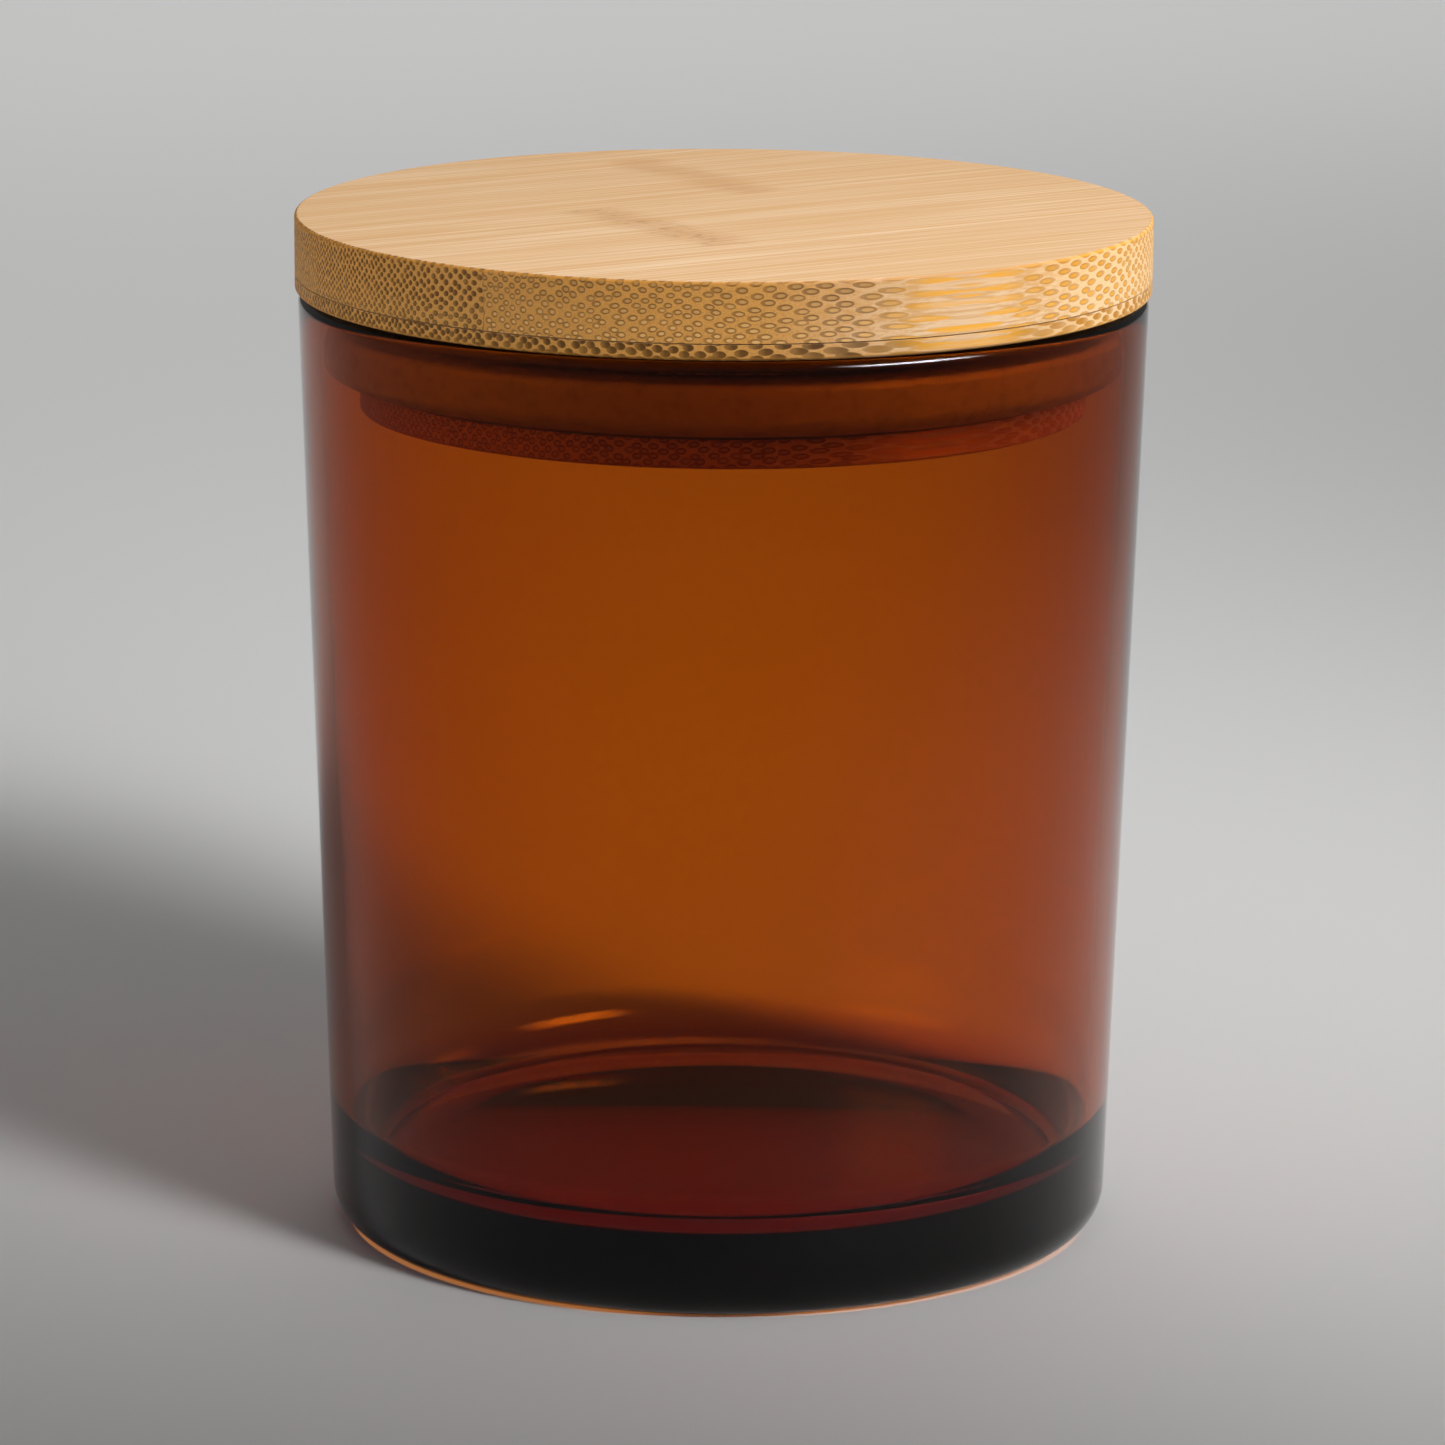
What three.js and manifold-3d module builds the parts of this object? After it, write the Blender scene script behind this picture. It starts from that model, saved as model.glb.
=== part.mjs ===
// Candle jar: a heavy-based amber glass tumbler, closed by a turned bamboo lid with a silicone seal.
// Millimetres, +Z up. The origin is the centre of the ring that the glass stands on.

import * as THREE from 'three';
import { mergeVertices } from 'three/addons/utils/BufferGeometryUtils.js';
import Module from 'manifold-3d';

const wasm = await Module();
wasm.setup();

// ---- driving dimensions ----

// glass
const RIM_RADIUS = 40;
const FOOT_RADIUS = 37.2; // where the tapered wall would meet the table
const JAR_HEIGHT = 89.9;
const WALL = 2;
const FLOOR_THICKNESS = 7;
const FLOOR_FILLET = 5.5;
const FOOT_CORNER_WIDTH = 2.6;
const FOOT_CORNER_HEIGHT = 3.4;
const PUNT_RADIUS = 30.5; // shallow hollow under the base
const PUNT_RISE = 1;

// lid disc and plug, turned as one from a glued board
const SEAT_GAP = 0.2; // between the glass rim and the lid's underside
const LID_RADIUS = 40.3;
const LID_THICKNESS = 7.1;
const LID_EDGE_BREAK = 0.35;
const PLUG_RADIUS = 34.2;
const PLUG_DEPTH = 10.8;
const GROOVE_RADIUS = 30.9;
const GROOVE_TOP = 2.3; // below the lid's underside
const GROOVE_BOTTOM = 8.1;

// the board: three plies of strips, all with the fibres one way
const FIBRE_TURN = THREE.MathUtils.degToRad(33); // from +X towards +Y
const STRIP_WIDTH = 24.6;
const STRIPS_PER_PLY = 4;
const GLUE_LINE = 0.1;
const TOP_PLY = 5.6;
const LOWER_PLY = 6.15;
const TOP_FIRST_JOINT = -17; // distance of each ply's first joint from the axis, across the fibres
const MIDDLE_FIRST_JOINT = -16.2;
const BOTTOM_FIRST_JOINT = -31.05;

// silicone seal
const SEAL_CLEARANCE = 0.3; // to the groove
const SEAL_RADIUS = 37.6;
const SEAL_TOP_ROUND = 0.7;
const SEAL_FACE_FOOT = 5.6; // where the lip leaves the glass, below the lid's underside

// facets round a turned piece
const GLASS_FACETS = 72;
const SEAL_FACETS = 72;
const LID_FACETS = 120;

// ---- sizes worked out from them ----

const LID_UNDERSIDE = JAR_HEIGHT + SEAT_GAP;
const LID_TOP = LID_UNDERSIDE + LID_THICKNESS;
const PLUG_FOOT = LID_UNDERSIDE - PLUG_DEPTH;
const TOP_JOINT = LID_TOP - TOP_PLY;
const MIDDLE_JOINT = TOP_JOINT - LOWER_PLY;

const outerRadius = (z) => FOOT_RADIUS + (RIM_RADIUS - FOOT_RADIUS) * (z / JAR_HEIGHT);
const innerRadius = (z) => outerRadius(z) - WALL;

// ---- materials ----

const amberGlass = new THREE.MeshStandardMaterial({ color: 0x9a4a08, roughness: 0.05, metalness: 0 });
const bamboo = new THREE.MeshStandardMaterial({ color: 0xd2a870, roughness: 0.6, metalness: 0 });
const silicone = new THREE.MeshStandardMaterial({ color: 0xd9d4c8, roughness: 0.45, metalness: 0 });

// ---- helpers ----

// Points of an elliptical arc from one angle to another, both ends included.
function arc(centreR, centreZ, radiusR, radiusZ, from, to, steps) {
  const points = [];
  for (let i = 0; i <= steps; i += 1) {
    const angle = THREE.MathUtils.degToRad(from + ((to - from) * i) / steps);
    const r = centreR + radiusR * Math.cos(angle);
    const z = centreZ + radiusZ * Math.sin(angle);
    points.push(new THREE.Vector2(r, z));
  }
  return points;
}

// A closed ring or solid from its half-section in r and z, turned about the Z axis.
function turned(profile, facets) {
  const geometry = new THREE.LatheGeometry(profile, facets);
  geometry.rotateX(Math.PI / 2);
  return geometry;
}

function toSolid(geometry) {
  const bare = geometry.clone();
  bare.deleteAttribute('normal');
  bare.deleteAttribute('uv');
  const merged = mergeVertices(bare, 1e-5);
  const vertProperties = new Float32Array(merged.attributes.position.array);
  const triVerts = new Uint32Array(merged.index.array);
  return new wasm.Manifold(new wasm.Mesh({ numProp: 3, vertProperties, triVerts }));
}

function toGeometry(solid) {
  const { vertProperties, triVerts } = solid.getMesh();
  const geometry = new THREE.BufferGeometry();
  geometry.setAttribute('position', new THREE.BufferAttribute(vertProperties, 3));
  geometry.setIndex(new THREE.BufferAttribute(triVerts, 1));
  geometry.computeVertexNormals();
  return geometry;
}

function named(name, geometry, material) {
  const mesh = new THREE.Mesh(geometry, material);
  mesh.name = name;
  return mesh;
}

// ---- the glass jar ----

// Under the base: a shallow dished punt, then the flat ring that stands on the table.
function puntProfile() {
  const steps = 5;
  const points = [];
  for (let i = 0; i <= steps; i += 1) {
    const share = i / steps;
    points.push(new THREE.Vector2(PUNT_RADIUS * share, PUNT_RISE * (1 - share * share)));
  }
  return points;
}

// Down the inside of the wall, round the fillet and along the floor to its centre.
function insideProfile() {
  const tangentHeight = FLOOR_THICKNESS + FLOOR_FILLET;
  const centre = innerRadius(tangentHeight) - FLOOR_FILLET;
  const fillet = arc(centre, tangentHeight, FLOOR_FILLET, FLOOR_FILLET, 0, -90, 7);
  return [...fillet, new THREE.Vector2(0, FLOOR_THICKNESS)];
}

function glassJar() {
  const cornerCentre = outerRadius(FOOT_CORNER_HEIGHT) - FOOT_CORNER_WIDTH;
  const foot = arc(cornerCentre, FOOT_CORNER_HEIGHT, FOOT_CORNER_WIDTH, FOOT_CORNER_HEIGHT, -90, 0, 6);
  const bead = WALL / 2;
  const rim = arc(RIM_RADIUS - bead, JAR_HEIGHT - bead, bead, bead, 0, 180, 8);
  const profile = [...puntProfile(), ...foot, ...rim, ...insideProfile()];
  return named('glass_jar', turned(profile, GLASS_FACETS), amberGlass);
}

// ---- the seal ring ----

// A solid ring: its root fills the groove, its lip reaches the glass and curls in again below.
function sealRing() {
  const inside = GROOVE_RADIUS + SEAL_CLEARANCE;
  const top = LID_UNDERSIDE - GROOVE_TOP - SEAL_CLEARANCE;
  const foot = LID_UNDERSIDE - GROOVE_BOTTOM + SEAL_CLEARANCE;
  const lipReach = SEAL_RADIUS - PLUG_RADIUS;
  const faceFoot = LID_UNDERSIDE - SEAL_FACE_FOOT;
  const lip = arc(PLUG_RADIUS, faceFoot, lipReach, faceFoot - foot, -90, 0, 6);
  const shoulderR = SEAL_RADIUS - SEAL_TOP_ROUND;
  const shoulder = arc(shoulderR, top - SEAL_TOP_ROUND, SEAL_TOP_ROUND, SEAL_TOP_ROUND, 0, 90, 3);
  const start = new THREE.Vector2(inside, foot);
  const profile = [start, ...lip, ...shoulder, new THREE.Vector2(inside, top), start.clone()];
  return named('seal_ring', turned(profile, SEAL_FACETS), silicone);
}

// ---- the bamboo lid ----

// The whole turned lid: disc, plug and the groove round the plug.
function lidSolid() {
  const edge = LID_EDGE_BREAK;
  const grooveTop = LID_UNDERSIDE - GROOVE_TOP;
  const grooveBottom = LID_UNDERSIDE - GROOVE_BOTTOM;
  const section = [
    [0, PLUG_FOOT],
    [PLUG_RADIUS - edge, PLUG_FOOT],
    [PLUG_RADIUS, PLUG_FOOT + edge],
    [PLUG_RADIUS, grooveBottom],
    [GROOVE_RADIUS, grooveBottom],
    [GROOVE_RADIUS, grooveTop],
    [PLUG_RADIUS, grooveTop],
    [PLUG_RADIUS, LID_UNDERSIDE],
    [LID_RADIUS - edge, LID_UNDERSIDE],
    [LID_RADIUS, LID_UNDERSIDE + edge],
    [LID_RADIUS, LID_TOP - edge],
    [LID_RADIUS - edge, LID_TOP],
    [0, LID_TOP],
  ];
  const profile = section.map(([r, z]) => new THREE.Vector2(r, z));
  return toSolid(turned(profile, LID_FACETS));
}

// One strip: the part of the lid between two joints across the fibres and two glue planes.
function stripSolid(lid, low, high, floor, ceiling) {
  const length = 2.5 * LID_RADIUS;
  const box = new THREE.BoxGeometry(length, high - low, ceiling - floor);
  box.translate(0, (low + high) / 2, (floor + ceiling) / 2);
  return lid.intersect(toSolid(box));
}

// A ply is cut into strips side by side, with a glue line between neighbours.
function ply(lid, name, firstJoint, floor, ceiling) {
  const half = GLUE_LINE / 2;
  const beyond = LID_RADIUS + 1;
  const strips = [];
  for (let i = 0; i < STRIPS_PER_PLY; i += 1) {
    const low = i === 0 ? -beyond : firstJoint + (i - 1) * STRIP_WIDTH + half;
    const high = i === STRIPS_PER_PLY - 1 ? beyond : firstJoint + i * STRIP_WIDTH - half;
    const solid = stripSolid(lid, low, high, floor, ceiling);
    strips.push(named(`${name}_strip_${i + 1}`, toGeometry(solid), bamboo));
  }
  return strips;
}

function bambooLid() {
  const lid = lidSolid();
  const half = GLUE_LINE / 2;
  const group = new THREE.Group();
  group.rotation.z = FIBRE_TURN;
  group.add(
    ...ply(lid, 'lid_top', TOP_FIRST_JOINT, TOP_JOINT + half, LID_TOP + 1),
    ...ply(lid, 'lid_middle', MIDDLE_FIRST_JOINT, MIDDLE_JOINT + half, TOP_JOINT - half),
    ...ply(lid, 'lid_bottom', BOTTOM_FIRST_JOINT, PLUG_FOOT - 1, MIDDLE_JOINT - half),
  );
  return group;
}

// ---- the assembly ----

const jar = new THREE.Group();
jar.add(glassJar(), sealRing(), bambooLid());

export default jar;
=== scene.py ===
# %% [markdown]
# # An amber candle jar with a bamboo lid
# The jar is a heavy glass tumbler. Its lid is turned from a glued bamboo board, and a silicone ring
# in a groove round the plug grips the glass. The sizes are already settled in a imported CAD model,
# so this lesson loads that model as a frame, and makes the fine surfaces, the glass and the bamboo
# around it. Everything is in metres, with Z up and the jar standing on z = 0.

# %% Load the frame
import math

import bmesh
import bpy
import numpy as np
from mathutils import Matrix, Vector


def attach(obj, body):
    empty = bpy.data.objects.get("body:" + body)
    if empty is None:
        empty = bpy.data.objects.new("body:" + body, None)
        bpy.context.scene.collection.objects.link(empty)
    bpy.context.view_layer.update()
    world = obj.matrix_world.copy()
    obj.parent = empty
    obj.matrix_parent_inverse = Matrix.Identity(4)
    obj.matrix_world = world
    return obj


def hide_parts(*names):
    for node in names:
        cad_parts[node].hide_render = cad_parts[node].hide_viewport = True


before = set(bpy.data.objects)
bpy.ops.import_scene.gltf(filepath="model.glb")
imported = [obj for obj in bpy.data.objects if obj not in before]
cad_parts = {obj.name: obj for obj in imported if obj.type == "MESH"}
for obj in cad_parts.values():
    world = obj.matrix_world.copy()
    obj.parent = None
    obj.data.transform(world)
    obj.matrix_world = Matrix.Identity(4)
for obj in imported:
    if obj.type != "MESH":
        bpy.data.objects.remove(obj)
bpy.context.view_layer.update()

MM = 0.001

# %% [markdown]
# ## The camera
# A long lens from a little above the lid keeps the sides of the tumbler nearly parallel, as a
# product picture does. The camera stands in front (on the -Y side) and looks down at the middle.
# Its place is worked out first, because the lights are judged through it.

# %% Camera
SENSOR_WIDTH = 36.0
FOCAL_LENGTH = 170.3
CAMERA_DISTANCE = 0.636
CAMERA_HEIGHT = 0.1967
CAMERA_ASIDE = 0.00015
PITCH_DOWN = math.radians(13.17)
ROLL = math.radians(0.35)

lens = bpy.data.cameras.new("camera")
lens.sensor_width = SENSOR_WIDTH
lens.lens = FOCAL_LENGTH
camera = bpy.data.objects.new("camera", lens)
bpy.context.scene.collection.objects.link(camera)
camera.matrix_world = (
    Matrix.Translation((CAMERA_ASIDE, -CAMERA_DISTANCE, CAMERA_HEIGHT))
    @ Matrix.Rotation(math.pi / 2 - PITCH_DOWN, 4, "X")
    @ Matrix.Rotation(ROLL, 4, "Z")
)
bpy.context.scene.camera = camera
print("camera at", [round(v, 4) for v in camera.matrix_world.translation])

# %% [markdown]
# ## Reading sizes off the frame
# A turned piece is known by the radius and height of its corners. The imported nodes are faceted,
# but each corner lies on the true shape, so their radii and heights give the wall, the floor, the
# plug and the groove without repeating any number.

# %% Corner radii and heights
ON_AXIS = 0.1 * MM
SAME_PLACE = 0.01 * MM


def corners(node):
    """Radius from the Z axis and height of every corner of a CAD node, in metres."""
    xyz = np.array([v.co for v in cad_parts[node].data.vertices])
    return np.hypot(xyz[:, 0], xyz[:, 1]), xyz[:, 2]


def show(title, **sizes):
    """Prints a few sizes in millimetres."""
    print(title, {name: round(float(size) / MM, 2) for name, size in sizes.items()})


jar_r, jar_z = corners("glass_jar")
JAR_HEIGHT = jar_z.max()
RIM_RADIUS = jar_r.max()
on_axis = jar_z[jar_r < ON_AXIS]
PUNT_RISE, FLOOR = on_axis.min(), on_axis.max()
WALL = RIM_RADIUS - jar_r[jar_z > 0.9 * JAR_HEIGHT].min()
FILLET = jar_z[jar_z < 0.5 * JAR_HEIGHT].max() - FLOOR
standing = jar_r[jar_z < SAME_PLACE]
PUNT_RADIUS, RING_RADIUS = standing.min(), standing.max()
low_wall = (jar_z < FLOOR) & (jar_r > RING_RADIUS)
FOOT_RADIUS, FOOT_HEIGHT = jar_r[low_wall].max(), jar_z[low_wall].max()
show("jar, mm:", height=JAR_HEIGHT, rim=RIM_RADIUS, wall=WALL, floor=FLOOR, fillet=FILLET)
show("jar, mm:", punt=PUNT_RADIUS, ring=RING_RADIUS, foot=FOOT_RADIUS, foot_height=FOOT_HEIGHT)

# %% [markdown]
# ## From a grid of points to a mesh
# Every surface here is a grid: one direction goes down the section, the other goes round the piece.
# The points are worked out as whole arrays. One helper turns such a grid into faces, merges the
# points that meet at a pole, closes flat ends and makes the faces look outwards.

# %% Grid to mesh
MERGE_DISTANCE = 0.0005 * MM


def grid_object(name, points, flat_ends=False, ring_section=False, sharp=35.0):
    """A closed mesh from points[row, column]: the columns close round the piece, and on a ring the
    rows close too. Edges that turn by more than sharp degrees are shaded as edges."""
    rows, columns = points.shape[:2]
    last = rows if ring_section else rows - 1
    row, column = np.meshgrid(np.arange(last), np.arange(columns), indexing="ij")
    beside, below = (column + 1) % columns, (row + 1) % rows
    quads = np.stack([row * columns + column, row * columns + beside,
                      below * columns + beside, below * columns + column], axis=-1).reshape(-1, 4)
    faces = quads.tolist()
    if flat_ends:
        faces += [list(range(columns)), list(range((rows - 1) * columns, rows * columns))]
    mesh = bpy.data.meshes.new(name)
    mesh.from_pydata(points.reshape(-1, 3).tolist(), [], faces)
    shape = bmesh.new()
    shape.from_mesh(mesh)
    bmesh.ops.remove_doubles(shape, verts=shape.verts, dist=MERGE_DISTANCE)
    bmesh.ops.recalc_face_normals(shape, faces=shape.faces)
    shape.to_mesh(mesh)
    shape.free()
    mesh.shade_smooth()
    mesh.set_sharp_from_angle(angle=math.radians(sharp))
    piece = bpy.data.objects.new(name, mesh)
    bpy.context.scene.collection.objects.link(piece)
    print(f"{name}: {len(mesh.vertices)} points, {len(mesh.polygons)} faces")
    return piece


def arc(centre, radii, start, end, steps):
    """Points of an ellipse's arc: centre plus radii times cosine and sine, angles in degrees."""
    angle = np.radians(np.linspace(start, end, steps))
    across = centre[0] + radii[0] * np.cos(angle)
    up = centre[1] + radii[1] * np.sin(angle)
    return np.stack([across, up], axis=-1)


def line(start, end, steps):
    """Evenly spaced points between two points, without the two ends."""
    share = np.linspace(0, 1, steps + 2)[1:-1, None]
    return np.array(start) * (1 - share) + np.array(end) * share


def turned(section, steps):
    """A section of (radius, height) rows carried round the Z axis: x = radius cos a, y = radius sin a."""
    angle = np.linspace(0, 2 * np.pi, steps, endpoint=False)
    radius, height = section[:, :1], section[:, 1:]
    return np.stack([radius * np.cos(angle), radius * np.sin(angle),
                     height * np.ones_like(angle)], axis=-1)


# %% [markdown]
# ## The shape of the glass
# The tumbler is pressed or blown in one piece: a tapered wall, a thick floor with a round fillet,
# a rounded foot, a shallow hollow (the punt) under the base so that it stands on a ring, and a rim
# melted round by a flame. The shape of the glass makes its look: the fillet and the foot bend the
# light into dark and bright rings, so both are real curves, not facets. Hot glass never sets
# perfectly even, so the inside wall gets a swell of a few hundredths of a millimetre.

# %% Glass section
GLASS_STEPS = 256


def outer_radius(height):
    """The wall's outside: a straight cone from the top of the foot to the rim's bead."""
    share = (height - FOOT_HEIGHT) / (JAR_HEIGHT - WALL / 2 - FOOT_HEIGHT)
    return FOOT_RADIUS + (RIM_RADIUS - FOOT_RADIUS) * share


def glass_section():
    """From below: punt, standing ring, foot, outside wall, bead, inside wall, fillet, floor.
    The punt is a parabola: its height falls with the square of the radius."""
    share = np.linspace(0, 1, 14)[:, None]
    punt = np.hstack([PUNT_RADIUS * share, PUNT_RISE * (1 - share**2)])
    foot_centre = (RING_RADIUS, FOOT_HEIGHT)
    foot = arc(foot_centre, (FOOT_RADIUS - RING_RADIUS, FOOT_HEIGHT), -90, 0, steps=22)
    bead = arc((RIM_RADIUS - WALL / 2, JAR_HEIGHT - WALL / 2), (WALL / 2, WALL / 2), 0, 180, steps=30)
    tangent = FLOOR + FILLET
    corner_radius = outer_radius(tangent) - WALL - FILLET
    fillet = arc((corner_radius, tangent), (FILLET, FILLET), 0, -90, steps=34)
    ring = line(punt[-1], foot[0], steps=2)
    outside = line(foot[-1], bead[0], steps=40)
    inside = line(bead[-1], fillet[0], steps=44)
    floor = line(fillet[-1], (0, FLOOR), steps=10)
    return np.vstack([punt, ring, foot, outside, bead, inside, fillet, floor, [[0, FLOOR]]])


section = glass_section()
glass_points = turned(section, GLASS_STEPS)
print("glass section points:", len(section))

# %% Swell of the inside wall
SWELL = 0.05 * MM


def swell_inside(points):
    """Moves inside points in or out by a sum of three slow sine waves round and up the wall.
    The waves fade out near the floor and near the rim, where the section has to stay true."""
    radius = np.hypot(points[..., 0], points[..., 1])
    around = np.arctan2(points[..., 1], points[..., 0])
    up = points[..., 2] / JAR_HEIGHT
    inside = (radius < outer_radius(points[..., 2]) - 0.9 * WALL) & (points[..., 2] > 1.05 * FLOOR)
    fade = np.clip((up - 0.08) / 0.15, 0, 1) * np.clip((0.97 - up) / 0.1, 0, 1)
    waves = (np.sin(3 * around + 4 * up + 0.7) + 0.6 * np.sin(5 * around - 7 * up + 2.1)
             + 0.4 * np.sin(9 * up * np.pi + 2 * around))
    factor = 1 + inside * fade * SWELL * waves / 2 / np.maximum(radius, MM)
    points[..., 0] *= factor
    points[..., 1] *= factor
    return points


glass = grid_object("blown_glass", swell_inside(glass_points), sharp=60)
show("largest swell, mm:", size=SWELL)

# %% [markdown]
# ## Amber glass
# Amber glass is coloured all through with iron and sulphur: it lets red pass, holds back most green
# and nearly all blue. So the colour belongs to the volume, and a thick base looks almost black while
# a thin wall glows orange. The surface is a clear dielectric; the body absorbs along the light's
# path. A part of the tint sits on the surface too, so viewers without volumes still show amber.

# %% Node helpers
def put(tree, kind, inputs=None, **settings):
    """Adds a node, sets its options, and fills or links its inputs."""
    node = tree.nodes.new(kind)
    for key, value in settings.items():
        setattr(node, key, value)
    for key, value in (inputs or {}).items():
        if isinstance(value, bpy.types.NodeSocket):
            tree.links.new(value, node.inputs[key])
        else:
            node.inputs[key].default_value = value
    return node


def calc(tree, operation, *values):
    """One Math node: the operation on up to three numbers or sockets."""
    return put(tree, "ShaderNodeMath", dict(enumerate(values)), operation=operation).outputs[0]


def ramp(tree, value, low, high, start=0.0, end=1.0):
    """A smooth step: start where the value is at low, end where it is at high. Either may be larger."""
    inputs = {"Value": value, "From Min": low, "From Max": high, "To Min": start, "To Max": end}
    return put(tree, "ShaderNodeMapRange", inputs, interpolation_type="SMOOTHSTEP").outputs["Result"]


def tint(tree, share, first, second):
    """Blends two colours: the first where the share is 0, the second where it is 1."""
    node = put(tree, "ShaderNodeMix", data_type="RGBA")
    for socket, value in ((node.inputs[0], share), (node.inputs[6], first), (node.inputs[7], second)):
        if isinstance(value, bpy.types.NodeSocket):
            tree.links.new(value, socket)
        else:
            socket.default_value = (*value, 1) if isinstance(value, tuple) else value
    return node.outputs[2]


def new_material(name):
    """An empty node material and its output node."""
    material = bpy.data.materials.new(name)
    material.use_nodes = True
    material.node_tree.nodes.clear()
    return material, material.node_tree, put(material.node_tree, "ShaderNodeOutputMaterial")


# %% Amber glass material
GLASS_TINT = (0.95, 0.72, 0.35)
ABSORBED_PER_MM = (0.140, 0.425, 1.3)
GLASS_INDEX = 1.52
FACING_SHINE = 0.5


def amber_glass():
    """Clear dielectric surface with part of the tint, and absorption all through the body.
    The shine seen face on is half of real glass's, which keeps a pale veil off the amber."""
    material, tree, output = new_material("amber_glass")
    surface = put(tree, "ShaderNodeBsdfPrincipled", {
        "Base Color": (*GLASS_TINT, 1), "Roughness": 0.0, "IOR": GLASS_INDEX, "Transmission Weight": 1.0,
        "Specular Tint": (FACING_SHINE, FACING_SHINE, FACING_SHINE, 1)})
    strongest = max(ABSORBED_PER_MM)
    passed = [1 - value / strongest for value in ABSORBED_PER_MM]
    body = put(tree, "ShaderNodeVolumeAbsorption", {"Color": (*passed, 1), "Density": strongest / MM})
    tree.links.new(surface.outputs[0], output.inputs["Surface"])
    tree.links.new(body.outputs[0], output.inputs["Volume"])
    return material


glass.data.materials.append(amber_glass())
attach(glass, "jar")
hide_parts("glass_jar")
print("light left after 1 mm, red, green, blue:", [round(math.exp(-rate), 2) for rate in ABSORBED_PER_MM])

# %% [markdown]
# ## The bamboo strips
# A bamboo board is made of strips planed from the wall of the culm, glued edge to edge into plies,
# and the plies glued face to face. The lid is turned from such a board, so each strip is a slice of
# one turned shape. Here a strip is the turned section, and at each height its outline is the part
# of a circle between two straight joints: two arcs joined by the two glue faces.

# %% Fibre direction and joints
FIBRE_TURN = math.radians(33)
ALONG = np.array([math.cos(FIBRE_TURN), math.sin(FIBRE_TURN)])
ACROSS = np.array([-math.sin(FIBRE_TURN), math.cos(FIBRE_TURN)])


def across_range(node):
    """Lowest and highest distance of a node's corners from the axis, measured across the fibres."""
    xy = np.array([v.co[:2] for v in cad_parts[node].data.vertices])
    return (xy @ ACROSS).min(), (xy @ ACROSS).max()


PLIES = ("top", "middle", "bottom")
strip_nodes = {ply: [f"lid_{ply}_strip_{i}" for i in range(1, 5)] for ply in PLIES}
for ply in PLIES:
    edges = [across_range(node) for node in strip_nodes[ply]]
    print(ply, "joints, mm:", [tuple(round(float(edge) / MM, 2) for edge in pair) for pair in edges])

# %% Lid section
REST_GAP = 0.2 * MM

disc_r, disc_z = corners("lid_top_strip_2")
LID_RADIUS, LID_TOP = disc_r.max(), disc_z.max()
TOP_PLY_FOOT = disc_z.min()
mid_r, mid_z = corners("lid_middle_strip_2")
MIDDLE_TOP, MIDDLE_FOOT = mid_z.max(), mid_z.min()
UNDERSIDE = JAR_HEIGHT + REST_GAP
plug_r, plug_z = corners("lid_bottom_strip_3")
PLUG_RADIUS, PLUG_FOOT = plug_r.max(), plug_z.min()
GROOVE_RADIUS = plug_r[plug_z > plug_z.max() - SAME_PLACE].max()
GROOVE_FOOT = plug_z[plug_r > PLUG_RADIUS - SAME_PLACE].max()
GROOVE_TOP = mid_z[(mid_r > PLUG_RADIUS - SAME_PLACE) & (mid_r < PLUG_RADIUS + SAME_PLACE)].min()
show("lid, mm:", radius=LID_RADIUS, top=LID_TOP, underside=UNDERSIDE, plug=PLUG_RADIUS)
show("lid, mm:", plug_foot=PLUG_FOOT, groove=GROOVE_RADIUS, groove_top=GROOVE_TOP, groove_foot=GROOVE_FOOT)

# %% [markdown]
# A machined edge on wood is never knife sharp: the sander breaks it. A Bevel modifier would round
# every edge alike, the glue joints too. So only the disc's two corners and the foot of the plug get
# a small round, drawn as an arc in the section, and the edges at the glue joints are left as cut.

# %% Ply sections
EDGE_ROUND = 0.32 * MM


SLIVER = 0.05 * MM


def top_section():
    """Top face to side to glue plane, as (radius, height) rows."""
    edge = arc((LID_RADIUS - EDGE_ROUND, LID_TOP - EDGE_ROUND), (EDGE_ROUND, EDGE_ROUND), 90, 0, steps=7)
    return np.vstack([edge, [[LID_RADIUS, TOP_PLY_FOOT]]])


def middle_section():
    """Glue plane, disc side, underside, plug neck, roof of the groove, groove wall."""
    edge = arc((LID_RADIUS - EDGE_ROUND, UNDERSIDE + EDGE_ROUND), (EDGE_ROUND, EDGE_ROUND), 0, -90, steps=7)
    return np.vstack([[[LID_RADIUS, MIDDLE_TOP]], edge, [
        [PLUG_RADIUS, UNDERSIDE], [PLUG_RADIUS, GROOVE_TOP],
        [GROOVE_RADIUS, GROOVE_TOP], [GROOVE_RADIUS, MIDDLE_FOOT]]])


def bottom_section():
    """Groove wall, floor of the groove, flange side, rounded foot."""
    edge = arc((PLUG_RADIUS - EDGE_ROUND, PLUG_FOOT + EDGE_ROUND), (EDGE_ROUND, EDGE_ROUND), 0, -90, steps=7)
    return np.vstack([[
        [GROOVE_RADIUS, plug_z.max()], [GROOVE_RADIUS, GROOVE_FOOT], [PLUG_RADIUS, GROOVE_FOOT]], edge])


def kept_rows(rows, low, high):
    """Only the rows whose circle reaches past the strip's nearer joint, by more than a sliver."""
    nearest = max(low, -high, 0.0)
    return rows[rows[:, 0] > nearest + SLIVER]


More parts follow.
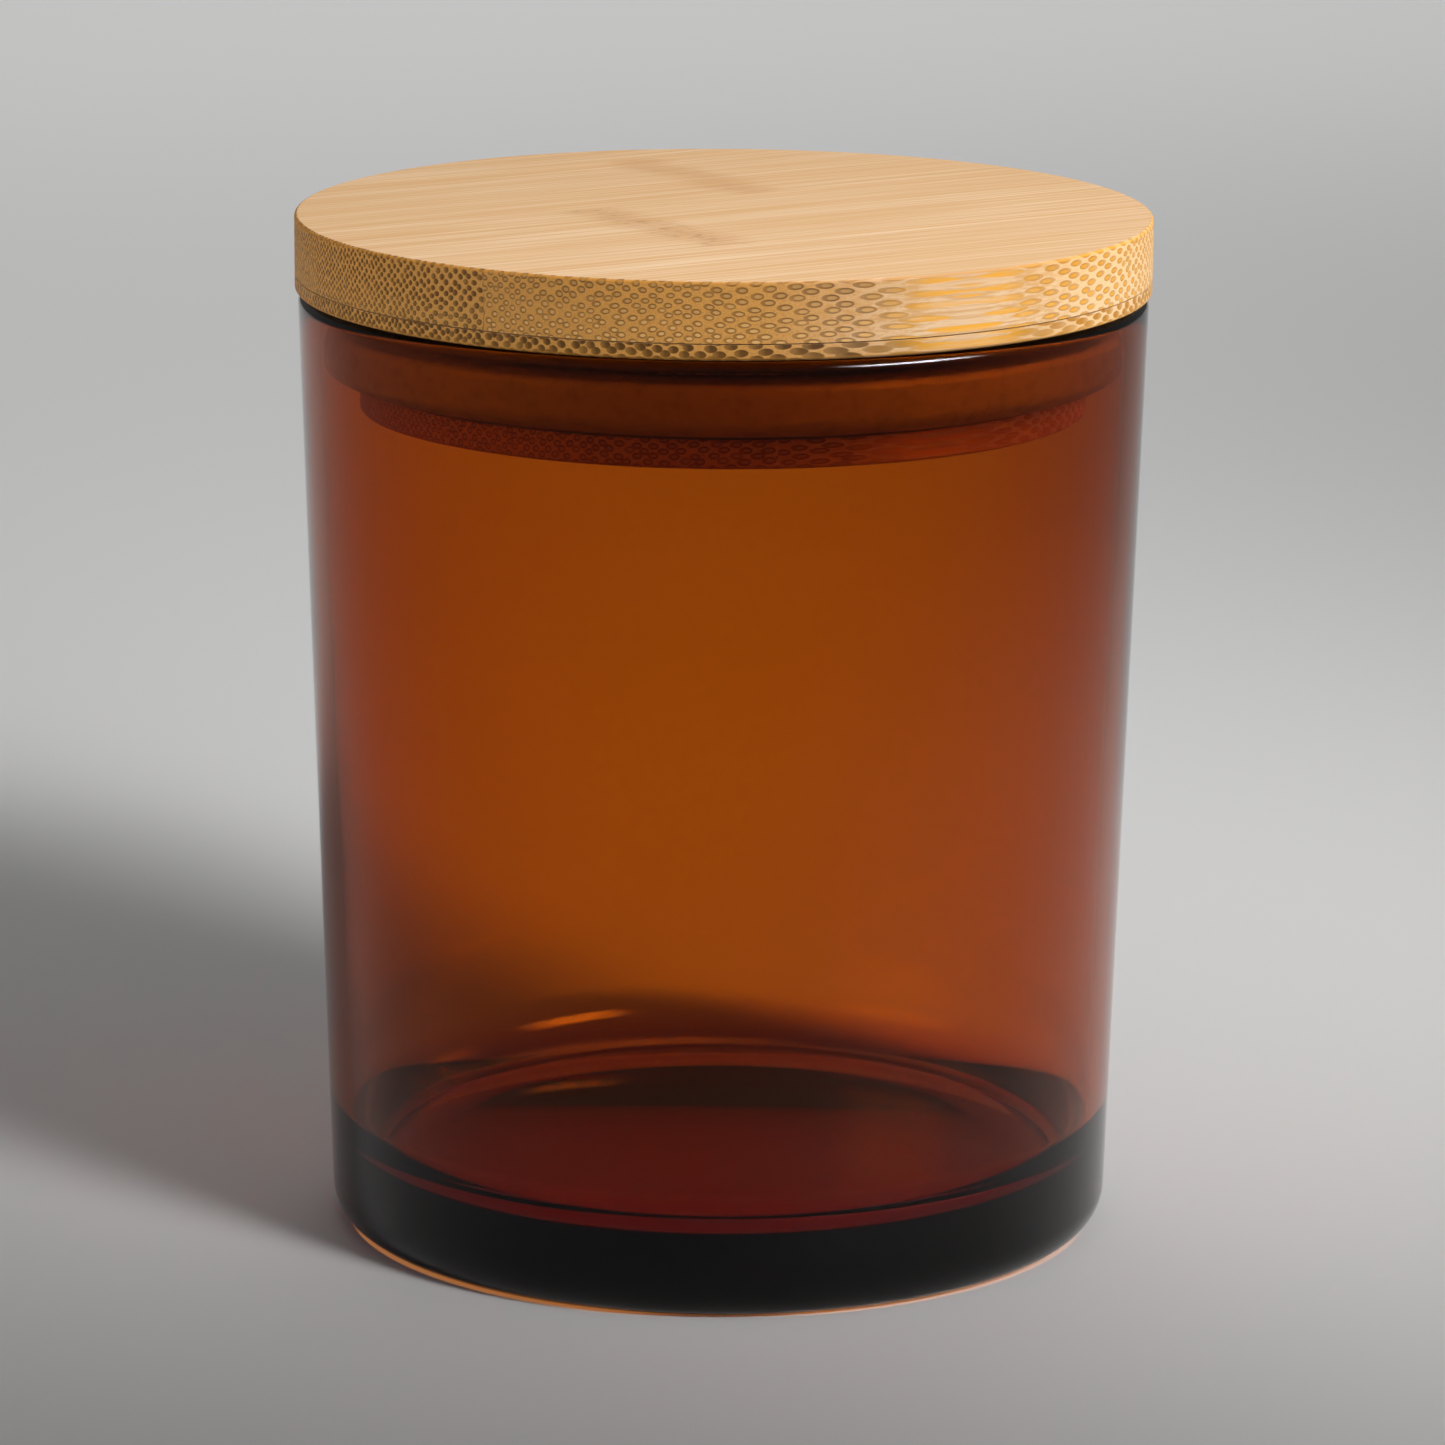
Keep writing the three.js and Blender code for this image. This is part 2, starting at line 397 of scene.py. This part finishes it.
def strip_points(rows, low, high, steps=72):
    """At each row: an arc at +t, the far joint, an arc at -t, the near joint.
    A point on an arc is (radius cos a, radius sin a) in (along, across), with a between the joints."""
    radius = rows[:, :1]
    start = np.arcsin(np.clip(low / radius, -1, 1))
    end = np.arcsin(np.clip(high / radius, -1, 1))
    share = np.linspace(0, 1, steps)
    angle = start + (end - start) * share
    along = np.hstack([radius * np.cos(angle), -radius * np.cos(angle[:, ::-1])])
    across = np.hstack([radius * np.sin(angle), radius * np.sin(angle[:, ::-1])])
    flat = along[..., None] * ALONG + across[..., None] * ACROSS
    return np.dstack([flat, np.repeat(rows[:, 1:], flat.shape[1], axis=1)])


# %% Make the strips
HALF_CAD_GAP = 0.05 * MM
GLUE = 0.03 * MM
OPEN_SIDE = 1.0


def make_strip(ply, number, rows):
    """One strip of a ply, a shade wider than its CAD node so that the glue line stays hair fine.
    An outer strip has no joint on its open side, so its limit there lies far outside the lid."""
    node = strip_nodes[ply][number]
    low, high = across_range(node)
    low = low - HALF_CAD_GAP + GLUE / 2 if number > 0 else -OPEN_SIDE
    high = high + HALF_CAD_GAP - GLUE / 2 if number < 3 else OPEN_SIDE
    points = strip_points(kept_rows(rows, low, high), low, high)
    piece = grid_object(f"{ply}_strip_{number + 1}", points, flat_ends=True, sharp=30)
    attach(piece, "lid")
    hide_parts(node)
    return piece


sections = {"top": top_section(), "middle": middle_section(), "bottom": bottom_section()}
strips = {ply: [make_strip(ply, i, sections[ply]) for i in range(4)] for ply in PLIES}

# %% [markdown]
# ## Bamboo, seen from every side
# A strip is full of fibre bundles that run along it. Cut across, each bundle is a small dark ring
# about half a millimetre wide with a pale heart; cut along, it is a golden streak. One solid pattern
# gives both: scattered rings in the plane across the fibres, drawn out along them. The pattern is
# read in Object coordinates turned to the fibres, so it runs true through the top, side and plug.
# In a side light one end of the fibres looks golden and the other brown. Here that is painted: it
# follows the way a face looks along the fibres, not the lamps, so it turns with the lid.

# %% Bamboo colours
# Some of these also paint side light: where the fibres end, the end facing +X gets CREAM, STRAW, HONEY and
# GOLDEN, the other END_TAN, BROWN and HEART_TAN.
PALE = (0.75, 0.525, 0.325)
STRAW = (0.60, 0.345, 0.145)
GOLDEN = (0.80, 0.37, 0.03)
HONEY = (0.46, 0.19, 0.02)
BROWN = (0.085, 0.035, 0.006)
CREAM = (0.84, 0.585, 0.32)
HEART_TAN = (0.66, 0.37, 0.13)
END_TAN = (0.60, 0.29, 0.068)
NODE_STAIN = (0.52, 0.26, 0.09)
NODE_DASH = (0.16, 0.085, 0.035)


def fibre_space(tree):
    """Object coordinates in millimetres, turned so that X runs along the fibres; and the normal."""
    source = put(tree, "ShaderNodeTexCoord")
    turn = (0, 0, -FIBRE_TURN)
    place = put(tree, "ShaderNodeMapping", {
        "Vector": source.outputs["Object"], "Rotation": turn, "Scale": (1 / MM, 1 / MM, 1 / MM)})
    normal = put(tree, "ShaderNodeMapping", {"Vector": source.outputs["Normal"], "Rotation": turn})
    return place.outputs[0], put(tree, "ShaderNodeSeparateXYZ", {0: normal.outputs[0]})


def stretched_noise(tree, vector, scale, shift, detail=2.0, roughness=0.5):
    """Noise read in a space squeezed along each axis by scale (features per millimetre)."""
    squeeze = put(tree, "ShaderNodeMapping", {
        "Vector": vector, "Scale": scale, "Location": (shift, 1.7 * shift, 0.6 * shift)})
    return put(tree, "ShaderNodeTexNoise", {
        "Vector": squeeze.outputs[0], "Scale": 1.0, "Detail": detail, "Roughness": roughness})


# %% Bundles
BUNDLE_LEVEL = 94.0
DRIFT = 1.3
DISORDER = 0.33


def bundles(tree, vector, pitch, radius, crowding, skin, shift):
    """How much a point lies in a bundle (0 to 1), its distance from the bundle's middle as a share
    of the radius, its height above the middle, and a random number for the bundle.
    Bundles sit on a staggered lattice, shaken a little; towards the skin they crowd and get smaller."""
    drift = stretched_noise(tree, vector, (0.02, 0.15, 0.15), shift, 1.0).outputs["Color"]
    moved = put(tree, "ShaderNodeVectorMath", {0: drift, 1: (0, DRIFT, DRIFT), 2: vector},
                operation="MULTIPLY_ADD")
    parts = put(tree, "ShaderNodeSeparateXYZ", {0: moved.outputs[0]})
    inward = calc(tree, "SUBTRACT", parts.outputs["Y"], skin)
    growth = calc(tree, "MULTIPLY_ADD", inward, crowding, 1.0)
    side = calc(tree, "MULTIPLY", inward, calc(tree, "MULTIPLY_ADD", inward, crowding / 2, 1.0))
    rise = calc(tree, "MULTIPLY", calc(tree, "SUBTRACT", parts.outputs["Z"], BUNDLE_LEVEL), growth)
    lattice = put(tree, "ShaderNodeMapping", {
        "Vector": put(tree, "ShaderNodeCombineXYZ", {0: side, 1: rise}).outputs[0],
        "Location": (shift, shift, 0), "Rotation": (0, 0, math.radians(45)),
        "Scale": (1 / pitch, 1 / pitch, 1)}).outputs[0]
    cells = put(tree, "ShaderNodeTexVoronoi", {"Vector": lattice, "Scale": 1.0, "Randomness": DISORDER},
                voronoi_dimensions="2D")
    away = calc(tree, "MULTIPLY", cells.outputs["Distance"], pitch / radius)
    offset = put(tree, "ShaderNodeVectorMath", {0: lattice, 1: cells.outputs["Position"]},
                 operation="SUBTRACT").outputs[0]
    slant = 0.707 * pitch / radius
    above = put(tree, "ShaderNodeVectorMath", {0: offset, 1: (slant, slant, 0)},
                operation="DOT_PRODUCT").outputs["Value"]
    chance = put(tree, "ShaderNodeSeparateColor", {0: cells.outputs["Color"]}).outputs[0]
    return ramp(tree, away, 1.1, 0.88), away, above, chance


# %% Wood between the bundles
GRAIN = {
    "lines": ((0.02, 2.6, 2.6), 3.0, 0.7),
    "hairs": ((0.09, 9.0, 9.0), 2.0, 0.6),
    "pores": ((3.0, 9.0, 9.0), 2.0, 0.6),
    "clouds": ((0.03, 0.14, 0.14), 2.0, 0.5),
}


def grain(tree, vector, shift):
    """Four noises of one strip by name, each made from its squeeze, detail and roughness."""
    return {name: stretched_noise(tree, vector, scale, shift, detail, roughness).outputs["Fac"]
            for name, (scale, detail, roughness) in GRAIN.items()}


def ground_wood(tree, noise, painted_lit_end, end_grain, tone):
    """Pale wood with straw lines along the fibres, and cut wood with pores where the fibres end; the cut
    wood is painted lighter on the end of the fibres that faces +X, as if lit there.
    """
    ground = tint(tree, ramp(tree, noise["lines"], 0.42, 0.60), PALE, STRAW)
    ground = tint(tree, ramp(tree, noise["hairs"], 0.42, 0.72, 0.0, 0.4), ground, STRAW)
    ground = tint(tree, ramp(tree, noise["clouds"], 0.30 - tone, 0.75 - tone, 0.0, 0.4), ground, STRAW)
    cut = tint(tree, painted_lit_end, END_TAN, CREAM)
    cut = tint(tree, ramp(tree, noise["pores"], 0.35, 0.75, 0.0, 0.35), cut, tint(tree, painted_lit_end, BROWN, STRAW))
    return tint(tree, ramp(tree, end_grain, 0.06, 0.5), ground, cut)


# %% Colour of a bundle
def cut_bundle(tree, above, away, chance, height, filled, painted_lit_end, ground):
    """A bundle cut across: a dark wall round a pale heart. The heart is where the distance from the
    middle is small; the wall is deepest below the middle, near the ply's top, and in some bundles."""
    heart = ramp(tree, calc(tree, "MULTIPLY_ADD", above, 0.35, away), 0.66, 0.34)
    heart = calc(tree, "MULTIPLY", heart, calc(tree, "MULTIPLY_ADD", height, -0.5, 1.0 - filled))
    cup = ramp(tree, above, 0.9, -0.5, 0.62, 1.0)
    depth = calc(tree, "MULTIPLY", cup, calc(tree, "MULTIPLY_ADD", height, 0.22, 0.78 + 0.2 * filled))
    depth = calc(tree, "MULTIPLY", depth, ramp(tree, chance, 0.0, 0.4, 0.75, 1.0))
    # painted light: wall and heart are honey and golden on the end of the fibres facing +X, brown and tan on
    # the other
    wall_colour = tint(tree, painted_lit_end, BROWN, HONEY)
    heart_colour = tint(tree, painted_lit_end, HEART_TAN, GOLDEN)
    return tint(tree, heart, tint(tree, depth, ground, wall_colour), heart_colour)


def long_bundle(tree, noise, level, ground):
    """A bundle seen along its length: a golden streak on the side, a faint straw one on top."""
    streak = tint(tree, ramp(tree, noise["lines"], 0.3, 0.6, 0.35, 1.0), ground, GOLDEN)
    faint = tint(tree, ramp(tree, noise["hairs"], 0.35, 0.6, 0.15, 0.6), ground, STRAW)
    return tint(tree, level, streak, faint)


# %% Stain of a node
def node_stain(tree, vector, along, colour, shift, stain_at, dash_share):
    """A soft band with short dark dashes. Both fade with the distance along the fibres from a line
    that slow noise bends."""
    bend = stretched_noise(tree, vector, (0.1, 0.35, 0.35), shift, 2.0).outputs["Fac"]
    straight = calc(tree, "SUBTRACT", along, stain_at + 2.5)
    from_node = calc(tree, "ABSOLUTE", calc(tree, "MULTIPLY_ADD", bend, 5.0, straight))
    dashes = stretched_noise(tree, vector, (0.55, 4.2, 4.2), shift, 1.5).outputs["Fac"]
    colour = tint(tree, ramp(tree, from_node, 4.5, 0.3, 0.0, 0.45), colour, NODE_STAIN)
    dash = calc(tree, "MULTIPLY", ramp(tree, dashes, 0.58, 0.70), ramp(tree, from_node, 4.0, 0.6))
    return tint(tree, calc(tree, "MULTIPLY", dash, dash_share), colour, NODE_DASH)


# %% Bamboo material
DARK_DASHES, FAINT_DASHES = 0.75, 0.25


def bamboo(name, shift, pitch, radius, foot, top,
           crowding=0.0, skin=0.0, filled=0.0, stain_at=None, tone=0.0):
    """Solid bamboo: pale ground with fine fibre lines, ringed bundles, and a node's stain if asked.
    foot and top are the ply's heights in millimetres: bundles are darker and fuller near its top."""
    material, tree, output = new_material(name)
    vector, normal = fibre_space(tree)
    place = put(tree, "ShaderNodeSeparateXYZ", {0: vector})
    end_grain = calc(tree, "ABSOLUTE", normal.outputs["X"])
    # painted light: 1 where a face looks along +X of the fibres, as if a side light fell on that end; it
    # does not follow the lamps
    painted_lit_end = ramp(tree, normal.outputs["X"], 0.0, 0.35)
    level = calc(tree, "ABSOLUTE", normal.outputs["Z"])

    noise = grain(tree, vector, shift)
    ground = ground_wood(tree, noise, painted_lit_end, end_grain, tone)
    inside, away, above, chance = bundles(tree, vector, pitch, radius, crowding, skin, shift)
    height = ramp(tree, place.outputs["Z"], foot, top)
    across = cut_bundle(tree, above, away, chance, height, filled, painted_lit_end, ground)
    along = long_bundle(tree, noise, level, ground)
    bundle_colour = tint(tree, ramp(tree, end_grain, 0.04, 0.30), along, across)
    colour = tint(tree, inside, ground, bundle_colour)

    # a rounded edge gets a painted highlight in a deeper orange colour: the product is largest where the
    # face is half level; it is golden on the painted lit end and honey on the other
    painted_edge_highlight = calc(tree, "MULTIPLY", calc(tree, "MULTIPLY", level, calc(tree, "SUBTRACT", 1.0, level)), 3.2)
    colour = tint(tree, calc(tree, "MULTIPLY", painted_edge_highlight, 0.8), colour, tint(tree, painted_lit_end, HONEY, GOLDEN))
    if stain_at is not None:
        dash_share = DARK_DASHES if tone == 0 else FAINT_DASHES
        colour = node_stain(tree, vector, place.outputs["X"], colour, shift, stain_at, dash_share)

    roughness = ramp(tree, noise["lines"], 0.2, 0.8, 0.42, 0.62)
    raised = calc(tree, "MULTIPLY", noise["hairs"], 0.6)
    relief = calc(tree, "ADD", raised, calc(tree, "MULTIPLY", inside, -0.5))
    bump = put(tree, "ShaderNodeBump", {"Height": relief, "Strength": 0.35, "Distance": 0.05 * MM})
    surface = put(tree, "ShaderNodeBsdfPrincipled", {
        "Base Color": colour, "Roughness": roughness, "Normal": bump.outputs[0], "IOR": 1.45})
    tree.links.new(surface.outputs[0], output.inputs["Surface"])
    return material


# %% Finish every strip
top_ply = dict(foot=TOP_PLY_FOOT / MM, top=LID_TOP / MM)
lower_ply = dict(foot=MIDDLE_FOOT / MM - 6, top=MIDDLE_TOP / MM, filled=0.5)
finishes = {
    "top": [dict(pitch=0.78, radius=0.30, **top_ply),
            dict(pitch=0.76, radius=0.30, crowding=0.024, skin=-17.0, filled=0.8, stain_at=-10.2, **top_ply),
            dict(pitch=0.5, radius=0.20, filled=0.6, stain_at=9.4, tone=0.1, **top_ply),
            dict(pitch=0.6, radius=0.22, **top_ply)],
    "middle": [dict(pitch=0.74, radius=0.335, **lower_ply),
               dict(pitch=0.68, radius=0.31, crowding=0.015, skin=-16.0, **lower_ply),
               dict(pitch=0.6, radius=0.25, **lower_ply),
               dict(pitch=0.7, radius=0.3, **lower_ply)],
    "bottom": [dict(pitch=0.7, radius=0.28, **lower_ply),
               dict(pitch=0.76, radius=0.32, **lower_ply),
               dict(pitch=0.6, radius=0.24, **lower_ply),
               dict(pitch=0.5, radius=0.2, **lower_ply)],
}
for row, ply in enumerate(PLIES):
    for i, (piece, finish) in enumerate(zip(strips[ply], finishes[ply])):
        piece.data.materials.append(bamboo(f"bamboo_{ply}_{i + 1}", 3.1 * i + 17.3 * row, **finish))
print("bamboo finishes:", sum(len(rows) for rows in finishes.values()))

# %% [markdown]
# ## The silicone ring
# The seal is a soft ring stretched into the groove. Its lip is pressed against the glass, and curls
# in below. Here, as in the CAD, a small gap is left between the two. A torus would be quicker, but
# its round face would touch the glass along a line. So the ring is a section too, with a flat face,
# closed on itself and carried round the axis. Silicone is milky because light goes a little way in
# and comes out again, which is what subsurface does.

# %% Seal section
SEAL_STEPS = 192
seal_r, seal_z = corners("seal_ring")
SEAL_ROOT, SEAL_FACE = seal_r.min(), seal_r.max()
SEAL_FOOT, SEAL_TOP = seal_z.min(), seal_z.max()


def seal_section():
    """Root foot, curled lip, pressed face, rounded shoulder, root top, as (radius, height) rows."""
    face = seal_z[seal_r > SEAL_FACE - SAME_PLACE]
    face_foot, round_size = face.min(), SEAL_TOP - face.max()
    lip = arc((PLUG_RADIUS, face_foot), (SEAL_FACE - PLUG_RADIUS, face_foot - SEAL_FOOT), -90, 0, steps=16)
    round_centre = (SEAL_FACE - round_size, SEAL_TOP - round_size)
    shoulder = arc(round_centre, (round_size, round_size), 0, 90, steps=8)
    return np.vstack([[[SEAL_ROOT, SEAL_FOOT]], lip, shoulder, [[SEAL_ROOT, SEAL_TOP]]])


seal = grid_object("silicone_ring", turned(seal_section(), SEAL_STEPS), ring_section=True, sharp=50)
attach(seal, "seal")
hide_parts("seal_ring")

# %% Silicone material
MILKY, DUSTY = (0.46, 0.42, 0.36), (0.38, 0.35, 0.30)


def silicone():
    """Milky, slightly see-through rubber with a faint bloom of dust."""
    material, tree, output = new_material("milky_silicone")
    place = put(tree, "ShaderNodeTexCoord")
    dust = put(tree, "ShaderNodeTexNoise", {
        "Vector": place.outputs["Object"], "Scale": 900.0, "Detail": 3.0})
    colour = tint(tree, ramp(tree, dust.outputs["Fac"], 0.45, 0.75), MILKY, DUSTY)
    surface = put(tree, "ShaderNodeBsdfPrincipled", {
        "Base Color": colour, "Roughness": ramp(tree, dust.outputs["Fac"], 0.3, 0.7, 0.32, 0.5),
        "IOR": 1.41, "Subsurface Weight": 0.35, "Subsurface Radius": (1.0, 0.9, 0.7),
        "Subsurface Scale": 1.5 * MM})
    tree.links.new(surface.outputs[0], output.inputs["Surface"])
    return material


seal.data.materials.append(silicone())
show("silicone ring, mm:", root=SEAL_ROOT, face=SEAL_FACE, foot=SEAL_FOOT, top=SEAL_TOP)

# %% [markdown]
# ## Floor and light
# The jar stands on a plain pale sheet. Four corners are enough, because nothing bends it. It lies a
# hair below the standing ring, so that two faces never share one plane and flicker.

# %% Floor
FLOOR_SIZE = 6.0
FLOOR_HEIGHT = -0.05 * MM


def pale_floor():
    """A wide level sheet just under the standing ring."""
    half = FLOOR_SIZE / 2
    mesh = bpy.data.meshes.new("floor")
    ring = [(-half, -half), (half, -half), (half, half), (-half, half)]
    mesh.from_pydata([(x, y, FLOOR_HEIGHT) for x, y in ring], [], [(0, 1, 2, 3)])
    piece = bpy.data.objects.new("floor", mesh)
    bpy.context.scene.collection.objects.link(piece)
    material, tree, output = new_material("pale_floor")
    surface = put(tree, "ShaderNodeBsdfPrincipled", {"Base Color": (0.86, 0.855, 0.85, 1), "Roughness": 0.7})
    tree.links.new(surface.outputs[0], output.inputs["Surface"])
    mesh.materials.append(material)
    return piece


floor = pale_floor()

# %% [markdown]
# A softbox is a lamp behind a white cloth, bright in the middle and fading at its edges. A plain
# area light has a hard edge, and shiny glass shows it. So the strength of each lamp here falls off
# near its rim, which the light's own Parametric coordinates make easy.

# %% Soft box
def softbox(name, place, size, power, spread=180.0, rim=0.38):
    """A rectangular area light, even in the middle and soft over a rim of the given share.
    Its strength is the product of two smooth steps, one across and one up: each is 0 at a side and
    1 at a distance of rim times the lamp's width or height from it."""
    lamp = bpy.data.lights.new(name, "AREA")
    lamp.shape = "RECTANGLE"
    lamp.size, lamp.size_y = size
    lamp.energy = power
    lamp.spread = math.radians(spread)
    lamp.use_nodes = True
    tree = lamp.node_tree
    geometry = put(tree, "ShaderNodeNewGeometry")
    across, up, _ = put(tree, "ShaderNodeSeparateXYZ", {0: geometry.outputs["Parametric"]}).outputs
    fades = [ramp(tree, calc(tree, "ABSOLUTE", calc(tree, "SUBTRACT", edge, 0.5)), 0.5, 0.5 - rim)
             for edge in (across, up)]
    tree.links.new(calc(tree, "MULTIPLY", *fades), tree.nodes["Emission"].inputs["Strength"])
    holder = bpy.data.objects.new(name, lamp)
    bpy.context.scene.collection.objects.link(holder)
    holder.visible_camera = False
    holder.location = place
    return holder


def aim(holder, target):
    """Turns a light so that it looks at a point."""
    holder.rotation_euler = (Vector(target) - holder.location).to_track_quat("-Z", "Y").to_euler()
    return holder


def around(azimuth, elevation, distance, height):
    """A place seen from the axis at a height: azimuth in degrees from the front towards +X, and
    elevation in degrees above the level."""
    azimuth, elevation = math.radians(azimuth), math.radians(elevation)
    level = distance * math.cos(elevation)
    return level * math.sin(azimuth), -level * math.cos(azimuth), height + distance * math.sin(elevation)


# %% [markdown]
# Amber glass shows what stands behind it more than what shines on it. So the floor and the object
# are lit apart. The pool lights a patch of floor behind the jar, which the amber is seen against,
# and the far lamp the floor beyond it. The key at the right, the top lamp and the fill at the left
# shape the lid and the rim.

# %% Lamps
LID = (0, 0, 0.09)
LID_HEIGHT = LID[2]
PATCH_BEHIND = (-0.02, 0.22, 0.0)
POOL_POWER, FAR_POWER = 0.92, 7.5
KEY_POWER, TOP_POWER, FILL_POWER = 18.0, 2.8, 13.0

pool = aim(softbox("pool", around(45, 36, 0.75, 0.0), (0.34, 0.30), POOL_POWER, spread=38.0), PATCH_BEHIND)
far = aim(softbox("far_floor", (0.0, 0.95, 0.9), (1.6, 0.9), FAR_POWER, spread=120.0), (0.0, 1.0, 0.0))
key = aim(softbox("key_right", around(57, 36, 0.7, LID_HEIGHT), (0.55, 0.28), KEY_POWER), LID)
top = aim(softbox("top", (0.1, 0.35, 0.65), (0.4, 0.4), TOP_POWER), LID)
fill = aim(softbox("fill_left", around(-62, 14, 0.9, LID_HEIGHT), (0.9, 0.7), FILL_POWER), LID)
print("lamps, watts:", {lamp.name: lamp.data.energy for lamp in (pool, far, key, top, fill)})

# %% [markdown]
# Light that comes down through the amber puts a warm line on the floor round the foot. The renderer
# finds very little of it, because such light reaches the floor only by bending in the glass. So a
# faint amber lamp lies between the base and the floor and stands in for it. It isn't part of the
# object. Reflected and bent rays don't see it, or it would show through the base.

# %% Glow under the base
GLOW_POWER = 0.0046
GLOW_COLOUR = (1.0, 0.36, 0.08)
GLOW_WIDTH = 2.07 * RING_RADIUS

glow = softbox("glow_under_base", (0, 0, FLOOR_HEIGHT / 2), (GLOW_WIDTH, GLOW_WIDTH), GLOW_POWER, rim=0.03)
glow.data.shape = "ELLIPSE"
glow.data.color = GLOW_COLOUR
glow.visible_glossy = False
glow.visible_transmission = False
show("glow, mm:", width=GLOW_WIDTH)

# %% [markdown]
# A lamp can be linked to the objects that it lights. The key, top and fill light only the object, so
# they put no shadows on the floor, and the pool lights only the floor. The fill is also hidden
# from reflections, where it would draw a streak along the rim. A studio can't do any of this: it is
# a choice for the look, and not one real set-up.

# %% Which lamp lights what
lit_pieces = bpy.data.collections.new("lit_pieces")
for piece in [glass, seal, *sum(strips.values(), [])]:
    lit_pieces.objects.link(piece)
for lamp in (key, fill, top):
    lamp.light_linking.receiver_collection = lit_pieces
lit_floor = bpy.data.collections.new("lit_floor")
lit_floor.objects.link(floor)
pool.light_linking.receiver_collection = lit_floor
fill.visible_glossy = False

# %% [markdown]
# The rest is an even, dim white from every side, so that the glass has something to reflect. The
# Standard view shows colours as they are worked out, with no film curve over them.

# %% World
WORLD_LIGHT = 0.11

world = bpy.data.worlds.new("studio")
bpy.context.scene.world = world
world.use_nodes = True
sky = world.node_tree.nodes["Background"]
sky.inputs["Strength"].default_value = WORLD_LIGHT
sky.inputs["Color"].default_value = (1.0, 1.0, 1.0, 1)
bpy.context.scene.view_settings.view_transform = "Standard"
print("world strength:", WORLD_LIGHT)
